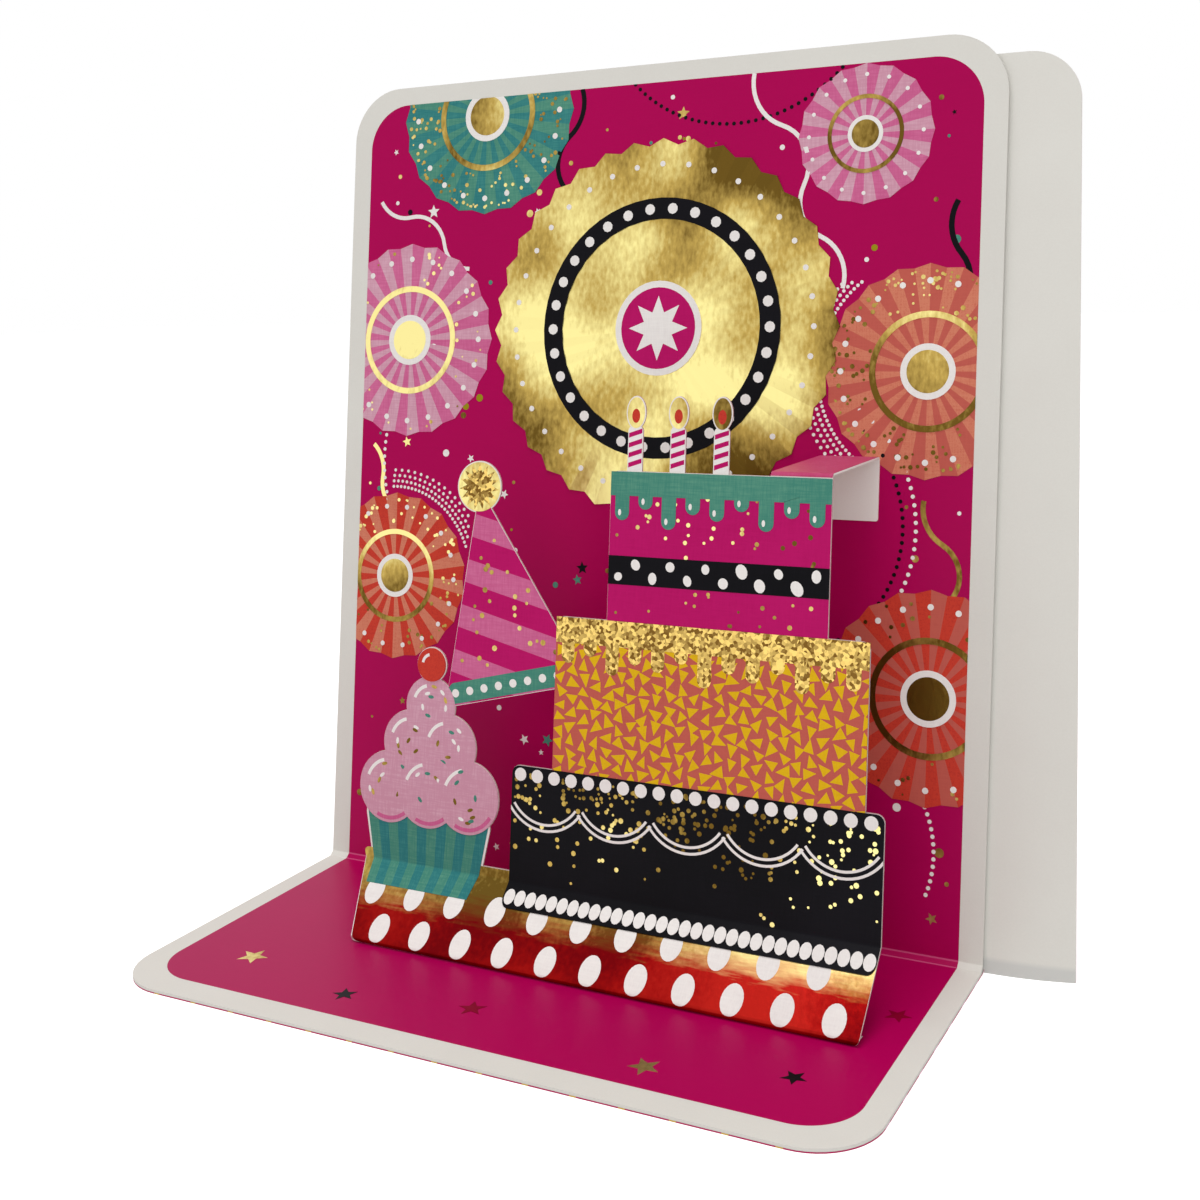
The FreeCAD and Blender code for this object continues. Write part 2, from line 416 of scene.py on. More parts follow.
cover_finish, cover_start, cover_shader = start_finish("plain_cover_board")
x, y, z, along, behind_panel = unfolded(cover_start)
past_side = (x - card_width / 2).at_least(0.0)
to_axis = leaf_front + leaf_curl_radius - behind_panel
leaf_depth = leaf_curl_radius - (past_side * past_side + to_axis * to_axis) ** 0.5
liner_depth = cover_thickness - base_top - z
round_leaf = (leaf_depth + cover_bend).at_least(0.0)
under_card = past_side < 0.05
round_liner = (liner_depth + cover_bend).at_least(0.0) * under_card
cover_depth = (round_leaf * round_leaf + round_liner * round_liner) ** 0.5 - cover_bend
printed_edge = (cover_depth > edge_print_depth) * (z < cover_thickness - base_top)
outside = (cover_depth > outside_depth).at_least(printed_edge)
# Painted shade: a soft grey band along the bottom of the leaf, where it bends round under the card.
bend_painted_shade = (bend_height - along).limit() * (leaf_depth < 0.2) * 0.75
cover_colour, cover_fibres = board_colour(cover_start, ink(222, 220, 213), ink(212, 208, 201))
cover_colour = bend_painted_shade.mix(cover_colour, ink(196, 196, 193))


def dots(shift, radius):
    """A grid of round dots over the outside of the cover."""
    across = ((x + shift) / dot_step).fraction() - 0.5
    upward = ((along + shift) / dot_step).fraction() - 0.5
    return (across * across + upward * upward) < (radius / dot_step) ** 2


outside_colour = dots(0.0, 1.3).mix(magenta, ink(226, 170, 192))
outside_colour = dots(dot_step / 2, 0.8).mix(outside_colour, ink(205, 165, 70))
cover_colour = outside.mix(cover_colour, outside_colour)
finish_board(cover_start, cover_shader, cover_colour, cover_fibres, 0.6 - outside * 0.2)
dress("plain_cover", cover_finish)

# %% [markdown]
# ## Inks and foils
# Everything else on the card is printed or stamped. An ink has a main tone and a second one that
# drifts in, and dry brushing that breaks it up. Foil is metal, and its light and dark areas are
# painted reflections in its colour, from a slow noise; its crinkle comes from a fine one that also
# bumps it and adds small painted glints. Glitter is foil in cells, each with a painted glint.


# %% Inks and foils
def ink_finish(name, tone, second, brush=0.4, speckle=0.0, gloss=0.4):
    """Ink: a tone and a second one that drifts and brushes in, with specks if wanted."""
    finish, start, shader = start_finish(name)
    where = position(start)
    slow = noise(start, where, 0.03)
    brushed = noise(start, position(start, (0.25, 1.0, 3.2)), 1.1, 5.0)
    crossed = noise(start, position(start, (3.2, 1.0, 0.25)), 1.1, 5.0)
    amount = (slow - 0.35) + (brushed * crossed * 4.0 - 0.9) * brush
    if speckle:
        grain = noise(start, where, 3.2, 2.0)
        amount = amount + (grain > 0.58) * speckle
    colour = amount.limit().mix(tone, second)
    normal = bump(start, brushed + noise(start, where, 2.6), 0.25, 0.03)
    sockets = {
        "Base Color": colour,
        "Roughness": gloss,
        "Specular IOR Level": paper_shine,
        "Normal": normal,
    }
    start.feed(shader, sockets)
    return finish


def foil_finish(name, tones, low_painted_reflections=None, fade=None):
    """Stamped foil: dark, middle and bright painted reflections, with a fine crinkle. It may fade
    to other tones below a height: fade is where that starts and ends, in millimetres over the
    table."""
    finish, start, shader = start_finish(name)
    where = position(start)
    # The slow noise and the crinkle pick a painted reflection: a dark, middle or bright tone.
    painted_reflection_patches = noise(start, where, 0.035, 1.0)
    fine = noise(start, position(start, (1.0, 1.0, 0.5)), 1.1, 6.0)
    shade = (painted_reflection_patches * 2.0 - 0.5 + (fine - 0.5) * 0.4).limit()
    places = (0.25, 0.5, 0.78)
    ramp = {"stops": tuple(zip(places, tones))}
    colour = start.node("ShaderNodeValToRGB", ramp, {0: shade})
    if low_painted_reflections:
        ramp = {"stops": tuple(zip(places, low_painted_reflections))}
        low_colour = start.node("ShaderNodeValToRGB", ramp, {0: shade})
        height = start.node("ShaderNodeSeparateXYZ", {}, {0: where}, 2)
        streaks = noise(start, position(start, (0.25, 1.0, 2.0)), 0.8, 4.0)
        faded = ((fade[0] - height + (streaks - 0.5) * 4.0) / (fade[0] - fade[1])).limit()
        colour = faded.mix(colour, low_colour)
    normal = bump(start, fine, 0.5, 0.06)
    start.feed(shader, {"Base Color": colour, "Metallic": 1.0, "Roughness": 0.3, "Normal": normal})
    return finish


def glitter_finish(name, bright, dark):
    """Glitter: foil broken into small cells, each with its own bump and its own painted glint, from
    dark to bright, in its colour.
    """
    finish, start, shader = start_finish(name)
    cell_sockets = {"Vector": position(start), "Scale": 1.6}
    cells = start.node("ShaderNodeTexVoronoi", {}, cell_sockets, "Color")
    tilt = start.node("ShaderNodeSeparateColor", {}, {0: cells})
    # Painted glints: each cell's colour runs from the dark tone to the bright one.
    ramp = {"stops": ((0.15, dark), (0.85, bright))}
    sockets = {
        "Base Color": start.node("ShaderNodeValToRGB", ramp, {0: tilt}),
        "Metallic": 0.85,
        "Roughness": 0.35,
        "Normal": bump(start, tilt, 0.8, 0.15),
    }
    start.feed(shader, sockets)
    return finish


white_ink = ink_finish("white_ink", ink(236, 232, 228), ink(214, 206, 204), 0.3)
black_ink = ink_finish("black_ink", ink(8, 7, 11), ink(24, 22, 29), 0.2, gloss=0.35)
pink_ink = ink_finish("pink_ink", ink(200, 144, 164), ink(216, 172, 188), 0.8)
rose_ink = ink_finish("rose_ink", ink(196, 92, 138), ink(214, 120, 160), 0.6)
teal_ink = ink_finish("teal_ink", ink(66, 130, 114), ink(98, 154, 130), 0.6)
deep_teal_ink = ink_finish("deep_teal_ink", ink(44, 116, 118), ink(72, 144, 136), 0.5)
coral_ink = ink_finish("coral_ink", ink(200, 62, 46), ink(170, 42, 40), 0.3, 0.35)
salmon_ink = ink_finish("salmon_ink", ink(190, 92, 80), ink(178, 78, 72), 0.4)
apricot_ink = ink_finish("apricot_ink", ink(208, 126, 100), ink(192, 94, 76), 0.5, 0.3)
yellow_ink = ink_finish("yellow_ink", ink(222, 178, 22), ink(208, 158, 20), 0.4)
olive_ink = ink_finish("olive_ink", ink(150, 140, 20), ink(132, 120, 16), 0.3)
magenta_ink = ink_finish("magenta_ink", ink(184, 18, 100), ink(168, 6, 86), 0.4)
violet_ink = ink_finish("violet_ink", ink(132, 0, 40), ink(112, 0, 34), 0.4)
strap_ink = ink_finish("strap_ink", ink(180, 62, 104), ink(198, 92, 130), 0.5)
# The foils' tones, from dark to bright, are painted reflections.
gold_painted_reflections = (ink(104, 80, 30), ink(190, 160, 82), ink(252, 238, 158))
red_painted_reflections = (ink(112, 6, 12), ink(146, 14, 14), ink(172, 30, 24))
gold_foil = foil_finish("gold_foil", gold_painted_reflections)
cloth_foil = foil_finish("cloth_foil", gold_painted_reflections, red_painted_reflections, (11.0, 6.5))
gold_glitter = glitter_finish("gold_glitter", ink(250, 214, 120), ink(120, 86, 30))
print(len(bpy.data.materials), "finishes")

# %% [markdown]
# ## Laying print on folded faces
# Print is drawn flat and then carried to its face. The panel and the base are plain planes, so one
# matrix each is enough. The pop-up's face bends twice, at its foot and at the crease above the
# skirt, so a shape that crosses a bend is cut there first and its points are moved one by one. The
# same two slopes tell how deep a point lies in the sheet, so its cut edges can take a darker
# pinkish
# tone: partly ink that the print leaves on them, partly painted shade.

# %% Faces to print on
fold_radius = 0.8
layer_distance = 27.4
crease_height = 12.9
foot_distance = 39.5
strap_height = 95.5

on_panel = (
    Matrix.Translation(Vector((card_left, fold_y, base_top)) * MM)
    @ Matrix.Rotation(math.pi / 2 - lean, 4, "X")
    @ Matrix.Scale(MM, 4)
)
on_base = Matrix.Translation(Vector((card_left, fold_y, base_top)) * MM) @ Matrix.Scale(MM, 4)

layer_foot = fold_y - layer_distance
skirt_foot = fold_y - foot_distance
crease_y = layer_foot + crease_height * math.tan(lean)
skirt_slope = math.atan2(crease_y - skirt_foot, crease_height)


def around_fold(corner_height, corner_y, before, after):
    """The start and end heights of a fold and its axis, between two slopes from upright."""
    half = abs(after - before) / 2
    setback = fold_radius * math.tan(half)
    low = corner_height - setback * math.cos(before)
    high = corner_height + setback * math.cos(after)
    side = 1 if before > after else -1
    start_y = corner_y - setback * math.sin(before)
    axis_y = start_y - side * fold_radius * math.cos(before)
    axis_height = low + side * fold_radius * math.sin(before)
    return low, high, axis_y, axis_height


crease = around_fold(crease_height, crease_y, skirt_slope, lean)
crease_low, crease_high, crease_axis_y, crease_axis_height = crease
foot_setback = fold_radius * math.tan(math.pi / 4 + skirt_slope / 2)
foot_top = foot_setback * math.cos(skirt_slope)
foot_axis = skirt_foot + foot_setback


def popup_face(height):
    """Where the pop-up's printed face is at a height over the base, and which way it faces."""
    if height > crease_high:
        return layer_foot + height * math.tan(lean), (-math.cos(lean), math.sin(lean))
    if height > crease_low:
        drop = (crease_axis_height - height) / fold_radius
        reach = math.sqrt(1 - drop * drop)
        return crease_axis_y + reach * fold_radius, (-reach, drop)
    if height > foot_top:
        facing = (-math.cos(skirt_slope), math.sin(skirt_slope))
        return skirt_foot + height * math.tan(skirt_slope), facing
    rise = (height - fold_radius) / fold_radius
    reach = math.sqrt(1 - rise * rise)
    return foot_axis - reach * fold_radius, (-reach, rise)


fold_cuts = [foot_top * step / 10 for step in range(1, 11)]
fold_cuts += [crease_low + (crease_high - crease_low) * step / 3 for step in range(4)]


def carry_to_popup(shape):
    """Moves a flat shape's points onto the pop-up's folded face."""
    for point in shape.verts:
        x, height, lift = point.co
        y, facing = popup_face(height)
        lifted = Vector((card_left + x, y + facing[0] * lift, base_top + height + facing[1] * lift))
        point.co = lifted * MM


skin = 0.02
popup_finish, popup_start, popup_shader = start_finish("popup_board")
x, y, z, along, behind_panel = unfolded(popup_start)
behind_layer = behind_panel + layer_distance * math.cos(lean)
behind_skirt = (y + foot_distance) * math.cos(skirt_slope) - z * math.sin(skirt_slope)
popup_depth = behind_layer.at_least(behind_skirt)
# The cut edges take a darker pinkish tone: partly ink that the print leaves there, partly painted
# shade.
cut_edge_ink_and_shade = (popup_depth > skin) * (popup_depth < popup_thickness - skin)
popup_colour, popup_fibres = board_colour(popup_start, ink(234, 227, 223), ink(226, 217, 213))
popup_colour = cut_edge_ink_and_shade.mix(popup_colour, ink(178, 138, 142))
finish_board(popup_start, popup_shader, popup_colour, popup_fibres)
dress("popup_sheet", popup_finish)
print("the skirt slopes", round(math.degrees(skirt_slope), 1), "degrees from upright")

# %% [markdown]
# ## Flat shapes
# Each printed shape starts as one flat face of its own kind: a circle, a star, or a block with its
# corners bevelled. The layer that it lies in sets its height over the paper, which says what lies
# on what.

# %% Flat shapes
ink_height = 0.022
layer_step = 0.016
hair = 0.0003
hairs = itertools.cycle(range(40))


def level(layer):
    """The height of a layer of ink or foil over the board. Shapes of one layer differ by a hair,
    so that two that overlap never share a face."""
    return ink_height + layer_step * layer + hair * next(hairs)


def faces_of(points):
    return {face for point in points for face in point.link_faces}


def tint(points, colour):
    for face in faces_of(points):
        face.material_index = colour


def disc(shape, x, y, radius, layer=0, colour=0, sides=28, squash=1.0, turn=0.0):
    """A circle, or an oval if it is squashed."""
    place = Matrix.Translation((x, y, level(layer)))
    place = place @ Matrix.Rotation(turn, 4, "Z") @ Matrix.Diagonal((1.0, squash, 1.0, 1.0))
    made = bmesh.ops.create_circle(
        shape, cap_ends=True, segments=sides, radius=radius, matrix=place
    )
    tint(made["verts"], colour)


def star(shape, x, y, radius, layer=0, colour=0, points=5, waist=0.45, turn=0.0):
    """A circle with every other point drawn in towards its centre."""
    place = Matrix.Translation((x, y, level(layer))) @ Matrix.Rotation(turn, 4, "Z")
    made = bmesh.ops.create_circle(
        shape, cap_ends=True, segments=points * 2, radius=radius, matrix=place
    )
    tint(made["verts"], colour)
    inner = made["verts"][1::2]
    bmesh.ops.scale(shape, vec=(waist, waist, 1.0), verts=inner, space=place.inverted())


def panelling(shape, corners, layer=0, colour=0, corner=0.0):
    """A flat shape with straight sides, and round corners if wanted."""
    points = [shape.verts.new((x, y, level(layer))) for x, y in corners]
    shape.faces.new(points).material_index = colour
    if corner:
        bmesh.ops.bevel(
            shape,
            geom=points,
            offset=corner,
            offset_type="OFFSET",
            segments=5,
            profile=0.5,
            affect="VERTICES",
            material=-1,
        )


def block(shape, left, right, bottom, top, layer=0, colour=0, corner=0.0):
    corners = ((left, bottom), (right, bottom), (right, top), (left, top))
    panelling(shape, corners, layer, colour, corner)


print("discs, stars and blocks can be printed")

# %% [markdown]
# ## Bands and ribbons
# A band along an arc is one short edge, spun round the arc's centre. A ribbon is such an edge too,
# spun left and right by turns, so that its sides stay parallel through every swing.


# %% Bands and ribbons
def arc_band(shape, x, y, inner, outer, first, last, layer=0, colour=0, steps=16):
    """A band of even width along an arc, spun from one short edge. Angles are in degrees."""
    angle = math.radians(first)
    ends = [
        shape.verts.new((x + r * math.cos(angle), y + r * math.sin(angle), level(layer)))
        for r in (inner, outer)
    ]
    edge = shape.edges.new(ends)
    full = abs(last - first) >= 360
    before = set(shape.faces)
    bmesh.ops.spin(
        shape,
        geom=ends + [edge],
        cent=(x, y, 0.0),
        axis=(0.0, 0.0, 1.0),
        dvec=(0.0, 0.0, 0.0),
        angle=math.radians(last - first),
        steps=steps,
        use_merge=full,
    )
    for face in set(shape.faces) - before:
        face.material_index = colour


def streamer(shape, x, y, heading, width, waves, layer=0, colour=0):
    """A ribbon that swings left and right: each wave is a radius and an angle to turn."""
    direction = Vector((math.cos(math.radians(heading)), math.sin(math.radians(heading))))
    middle = Vector((x, y))
    left = Vector((-direction.y, direction.x))
    sides = [middle + left * width / 2, middle - left * width / 2]
    ends = [shape.verts.new((side.x, side.y, level(layer))) for side in sides]
    geometry = ends + [shape.edges.new(ends)]
    before = set(shape.faces)
    for radius, angle in waves:
        side = 1 if angle > 0 else -1
        left = Vector((-direction.y, direction.x))
        centre = middle + left * radius * side
        turned = bmesh.ops.spin(
            shape,
            geom=geometry,
            cent=(centre.x, centre.y, 0.0),
            axis=(0.0, 0.0, 1.0),
            dvec=(0.0, 0.0, 0.0),
            angle=math.radians(angle),
            steps=10,
            use_merge=False,
        )
        geometry = turned["geom_last"]
        swing = Matrix.Rotation(math.radians(angle), 2)
        middle = centre + swing @ (middle - centre)
        direction = swing @ direction
    for face in set(shape.faces) - before:
        face.material_index = colour


print("bands and ribbons can be printed")

# %% [markdown]
# ## From flat shapes to thin films
# Ink and foil have a thickness, so a flat shape is extruded down to the paper, which makes a closed
# film. What would stand over an edge is cut away while it is still flat. Then the film is carried
# to its face: by a matrix on the panel and the base, and point by point on the pop-up.


# %% Films
def cut(shape, point, across, clear=False):
    """Cuts along a line: a point on it and the direction across it, where it may clear away."""
    bmesh.ops.bisect_plane(
        shape,
        geom=shape.verts[:] + shape.edges[:] + shape.faces[:],
        dist=1e-5,
        plane_co=(point[0], point[1], 0.0),
        plane_no=(across[0], across[1], 0.0),
        clear_outer=clear,
    )


def trim(shape, point, outward):
    """Cuts away what lies beyond a line: a point on it and the direction of the waste."""
    cut(shape, point, outward, clear=True)


def trim_to_print(shape):
    """Cuts a shape on the panel along the sides and top of the printed ground."""
    trim(shape, (border_side, 0.0), (-1.0, 0.0))
    trim(shape, (card_width - border_side, 0.0), (1.0, 0.0))
    trim(shape, (0.0, print_top), (0.0, 1.0))


def seat(shape):
    """Extrudes a flat shape down to the board, so that it is a closed film."""
    lowered = bmesh.ops.extrude_face_region(shape, geom=shape.faces[:])
    low = [part for part in lowered["geom"] if isinstance(part, bmesh.types.BMVert)]
    bmesh.ops.scale(shape, vec=(1.0, 1.0, 0.0), verts=low)


def add_piece(name, shape, finishes):
    """Turns every face outwards and makes a shape a piece of the card."""
    bmesh.ops.recalc_face_normals(shape, faces=shape.faces[:])
    mesh = bpy.data.meshes.new(name)
    shape.to_mesh(mesh)
    shape.free()
    for finish in finishes:
        mesh.materials.append(finish)
    piece = bpy.data.objects.new(name, mesh)
    bpy.context.scene.collection.objects.link(piece)
    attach(piece, "root")
    print(name, len(mesh.polygons), "faces")


def finish_piece(name, shape, place, finishes):
    """Seats a shape, carries it to its face and adds it. No place means the pop-up's face."""
    if place is None:
        for height in fold_cuts:
            cut(shape, (0.0, height), (0.0, 1.0))
        seat(shape)
        carry_to_popup(shape)
    else:
        seat(shape)
        bmesh.ops.transform(shape, matrix=place, verts=shape.verts)
    add_piece(name, shape, finishes)


print("films are cut at", len(fold_cuts), "heights to follow the pop-up's folds")

# %% [markdown]
# ## Paper fans on the panel
# The panel's large motifs are pleated paper fans, cut off where they meet the border. A circle
# filled with triangles is already a fan: lifting every other point of its rim makes the pleats.
# Rings, beads and specks of foil lie on the pleats, each a step higher than what it covers.

# %% Paper fans
def fan(shape, x, y, radius, pleats, layer, relief):
    """A pleated fan in two tones: points of the rim are raised and drawn in by turns."""
    place = Matrix.Translation((x, y, level(layer)))
    made = bmesh.ops.create_circle(
        shape, cap_ends=True, cap_tris=True, segments=pleats * 2, radius=radius, matrix=place
    )
    rim = [point for point in made["verts"] if (point.co.xy - Vector((x, y))).length > radius / 2]
    bmesh.ops.scale(shape, vec=(0.965, 0.965, 1.0), verts=rim[1::2], space=place.inverted())
    bmesh.ops.translate(shape, vec=(0.0, 0.0, relief), verts=rim[0::2])
    for face in faces_of(made["verts"]):
        middle = face.calc_center_median()
        angle = math.atan2(middle.y - y, middle.x - x)
        face.material_index = int((angle / math.pi + 1) * pleats + 1e-4) % 2


def ring(shape, x, y, inner, outer, layer, colour):
    """A flat ring, or a disc if it has no inner radius."""
    if inner:
        arc_band(shape, x, y, inner, outer, 0, 360, layer, colour, 56)
    else:
        disc(shape, x, y, outer, layer, colour, 40)


def beads(shape, x, y, radius, count, size, layer, colour, first=0.0, last=360.0):
    """A row of small dots along a circle, or along an arc of it."""
    for bead in range(count):
        angle = math.radians(first + (last - first) * bead / count)
        spot = (x + radius * math.cos(angle), y + radius * math.sin(angle))
        disc(shape, *spot, size, layer, colour, 10)


def specks(shape, draw, x, y, inner, outer, count, layer, colour):
    """Small specks of foil, scattered between two radii and thicker towards the outer one."""
    for speck in range(count):
        angle = draw.uniform(0.0, 2 * math.pi)
        radius = outer - (outer - inner) * draw.random() ** 2
        spot = (x + radius * math.cos(angle), y + radius * math.sin(angle))
        disc(shape, *spot, draw.uniform(0.2, 0.5), layer, colour, 8)


gold_centre = (80.0, 122.0)
shape = bmesh.new()
fan(shape, *gold_centre, 40.0, 36, 4, 0.28)
finish_piece("gold_fan", shape, on_panel, [gold_foil, gold_foil])

shape = bmesh.new()
ring(shape, *gold_centre, 23.0, 27.5, 22, 0)
beads(shape, *gold_centre, 25.2, 30, 1.15, 23, 1)
beads(shape, *gold_centre, 34.6, 36, 0.62, 23, 1)
ring(shape, *gold_centre, 0.0, 10.0, 18, 1)
ring(shape, *gold_centre, 0.0, 8.6, 19, 2)
star(shape, *gold_centre, 6.8, 20, 1, 8, 0.52)
rings = [black_ink, white_ink, magenta_ink]
finish_piece("gold_fan_rings", shape, on_panel, rings)

scatter = random.Random(11)
small_fans = (
    ("pink_fan", (17.0, 120.0), 22.0, 20, (pink_ink, rose_ink), 40),
    ("teal_fan", (36.0, 170.0), 22.0, 20, (teal_ink, deep_teal_ink), 170),
    ("coral_fan", (15.0, 66.0), 19.0, 18, (coral_ink, apricot_ink), 90),
    ("apricot_fan", (138.0, 113.0), 21.0, 20, (apricot_ink, salmon_ink), 170),
    ("rose_fan", (124.0, 160.0), 14.0, 16, (pink_ink, rose_ink), 0),
    ("red_fan", (140.0, 50.0), 21.0, 20, (coral_ink, salmon_ink), 30),
)
for name, centre, radius, pleats, tones, flecks in small_fans:
    shape = bmesh.new()
    fan(shape, *centre, radius, pleats, 1, 0.05)
    specks(shape, scatter, *centre, radius * 0.58, radius * 0.93, flecks, 5, 3)
    beads(shape, *centre, radius * 0.84, pleats, radius * 0.03, 6, 2)
    ring(shape, *centre, radius * 0.5, radius * 0.56, 6, 3)
    ring(shape, *centre, 0.0, radius * 0.26, 6, 2)
    ring(shape, *centre, 0.0, radius * 0.2, 7, 3)
    trim_to_print(shape)
    finish_piece(name, shape, on_panel, [*tones, white_ink, gold_foil])

# %% [markdown]
# ## Streamers and confetti
# Ribbons of black, white and gold swing between the fans, strings of beads hang across the
# magenta ground, and confetti fills it. Confetti is scattered by a seeded random draw, so it falls
# the same way every time. Six small stars lie on the base.

# %% Streamers and confetti
ribbons = bmesh.new()
streamer(ribbons, 60.0, 174.0, -70, 1.1, ((9, -70), (8, 100), (8, -95), (7, 80)), 1, 0)
streamer(ribbons, 100.0, 174.0, -100, 0.9, ((10, 80), (9, -95), (8, 90), (9, -80)), 1, 1)
streamer(ribbons, 143.0, 146.0, -120, 1.1, ((9, 70), (8, -100), (8, 90)), 1, 0)
streamer(ribbons, 8.0, 152.0, -60, 0.9, ((8, 70), (8, -90), (7, 80)), 1, 1)
streamer(ribbons, 8.0, 96.0, -40, 1.0, ((8, -60), (7, 95), (7, -90), (7, 80)), 1, 2)
streamer(ribbons, 138.0, 88.0, -100, 1.0, ((8, 70), (7, -100), (7, 90), (7, -80)), 1, 2)
beads(ribbons, 108.0, 82.0, 26.0, 36, 0.42, 1, 0, -62, 66)
beads(ribbons, 108.0, 82.0, 28.6, 34, 0.42, 1, 1, -58, 58)
beads(ribbons, 44.0, 93.0, 33.0, 30, 0.42, 1, 1, 128, 214)
beads(ribbons, 96.0, 196.0, 32.0, 40, 0.42, 1, 0, 215, 330)
beads(ribbons, 120.0, 20.0, 22.0, 30, 0.42, 1, 1, -20, 92)
for row in range(4):
    beads(ribbons, 138.0, 113.0, 22.4 + row * 1.25, 40 - row * 4, 0.36, 1, 1, 128 + row * 4, 232)
    beads(ribbons, 15.0, 66.0, 20.4 + row * 1.25, 26 - row * 4, 0.36, 1, 1, 22 + row * 5, 96)
trim_to_print(ribbons)
finish_piece("streamers", ribbons, on_panel, [black_ink, white_ink, gold_foil])

confetti = bmesh.new()
for scrap in range(240):
    x = scatter.uniform(7.0, 145.0)
    y = scatter.uniform(4.0, 171.0)
    radius = 0.3 + 0.7 * scatter.random() ** 2
    colour = scatter.choice((0, 0, 1, 2, 2, 3, 4))
    turn = scatter.uniform(0.0, math.pi)
    if scatter.random() < 0.3:
        star(confetti, x, y, radius * 1.7, 0, colour, 5, 0.45, turn)
    else:
        disc(confetti, x, y, radius, 0, colour, 14)
confetti_inks = [white_ink, black_ink, gold_foil, teal_ink, olive_ink]
finish_piece("confetti", confetti, on_panel, confetti_inks)

base_stars = bmesh.new()
for x, y, radius, colour in (
    (20.0, -52.0, 3.2, 0),
    (47.0, -58.0, 2.5, 1),
    (72.0, -53.0, 2.8, 2),
    (110.0, -59.0, 3.0, 0),
    (134.0, -52.0, 2.4, 1),
    (143.0, -24.0, 2.6, 2),
):
    star(base_stars, x, y, radius, 0, colour, 5, 0.42, x)
star_inks = [gold_foil, black_ink, violet_ink]
finish_piece("base_stars", base_stars, on_base, star_inks)

# %% [markdown]
# ## The tablecloth and the cake
# The pop-up is a table with a cake on it. The cloth covers the skirt, and each tier stands a
# little way into the one below, so the films are stacked from the back to the front. Each stops
# short of the die-cut edge, where the board shows as a pale line.

# %% Tablecloth
edge_gap = 0.05
cloth_left = 28.2
cloth_foot_left = 34.2
cloth_right = 140.6
cloth_height = 15.0
cloth = bmesh.new()
cloth_corners = (
    (cloth_foot_left + 2 * edge_gap, 5 * edge_gap),
    (cloth_right - edge_gap, edge_gap),
    (cloth_right - edge_gap, cloth_height - edge_gap),
    (cloth_left + 2 * edge_gap, cloth_height - edge_gap),
)
panelling(cloth, cloth_corners, 0, 0, 1.5)
for row, height in enumerate((3.0, 8.3)):
    for spot in range(11):
        x = 39.5 + spot * 9.6 - row * 4.8
        if x < cloth_right - 2.6:
            disc(cloth, x, height, 2.15, 1, 1, 24)
finish_piece("tablecloth", cloth, None, [cloth_foil, white_ink])

# %% Top tier
speckle = random.Random(5)


def drips(shape, first, spacing, drops, width, top, layer, colour):
    """Icing that runs down: round-ended drips of different lengths under a straight top."""
    for step, drop in enumerate(drops):
        x = first + spacing * step
        block(shape, x - width, x + width, top - drop, top, layer, colour)
        disc(shape, x, top - drop, width, layer, colour, 20)


strap_right = 129.0
tier_left = 84.0 + edge_gap
tier_right = strap_right - edge_gap
tier_top = 94.6
top_tier = bmesh.new()
block(top_tier, tier_left, tier_right, 62.0, tier_top, 1, 0, 1.5)
for spot in range(70):
    x = speckle.uniform(85.5, 127.5)
    height = speckle.uniform(66.5, 90.0)
    disc(top_tier, x, height, speckle.uniform(0.25, 0.5), 2, 1, 8)
block(top_tier, tier_left, tier_right, 73.0, 78.5, 4, 2)
for spot in range(12):
    x = 86.2 + spot * 3.66
    height = 74.5 + (spot % 2) * 2.4
    size = speckle.uniform(0.8, 1.15)
    disc(top_tier, x, height, size, 5, 3, 14, speckle.uniform(0.9, 1.35), speckle.uniform(0, 1))
block(top_tier, tier_left, tier_right, 90.0, tier_top, 5, 4)
drops = (4.2, 2.0, 5.6, 2.6, 3.6, 1.6, 5.0, 2.4, 3.8)
drips(top_tier, 86.6, 4.96, drops, 1.5, 91.0, 5, 4)
for step, drop in enumerate(drops):
    disc(top_tier, 86.1 + 4.96 * step, 91.0 - drop, 0.35, 7, 3, 10, 1.8)
top_inks = [magenta_ink, gold_foil, black_ink, white_ink, teal_ink]
finish_piece("top_tier", top_tier, None, top_inks)

# %% Middle tier
middle_left = 73.0 + edge_gap
middle_right = 137.0 - edge_gap
middle_tier = bmesh.new()
block(middle_tier, middle_left, middle_right, 32.0, 66.0 - edge_gap, 8, 0, 1.55)
for row in range(12):
    for column in range(25):
        x = 74.4 + column * 2.6 + speckle.uniform(-0.25, 0.25)
        height = 33.4 + row * 2.6 + (column % 2) * 1.3 + speckle.uniform(-0.25, 0.25)
        turn = speckle.uniform(0.0, 2 * math.pi)
        size = speckle.uniform(1.3, 1.65)
        corners = [
            (x + size * math.cos(turn + corner), height + size * math.sin(turn + corner))
            for corner in (0.0, 2.2, 3.8)
        ]
        panelling(middle_tier, corners, 9, 1)
trim(middle_tier, (middle_left, 0.0), (-1.0, 0.0))
trim(middle_tier, (middle_right, 0.0), (1.0, 0.0))
finish_piece("middle_tier", middle_tier, None, [salmon_ink, yellow_ink])

glitter = bmesh.new()
block(glitter, middle_left, middle_right, 61.0, 66.0 - edge_gap, 11, 0)
drops = (3.0, 1.4, 4.6, 2.2, 3.2, 1.2, 5.2, 2.2, 3.4, 1.4, 4.4, 2.0, 3.0)
drips(glitter, 75.8, 4.86, drops, 1.4, 61.5, 11, 0)
finish_piece("glitter_icing", glitter, None, [gold_glitter])

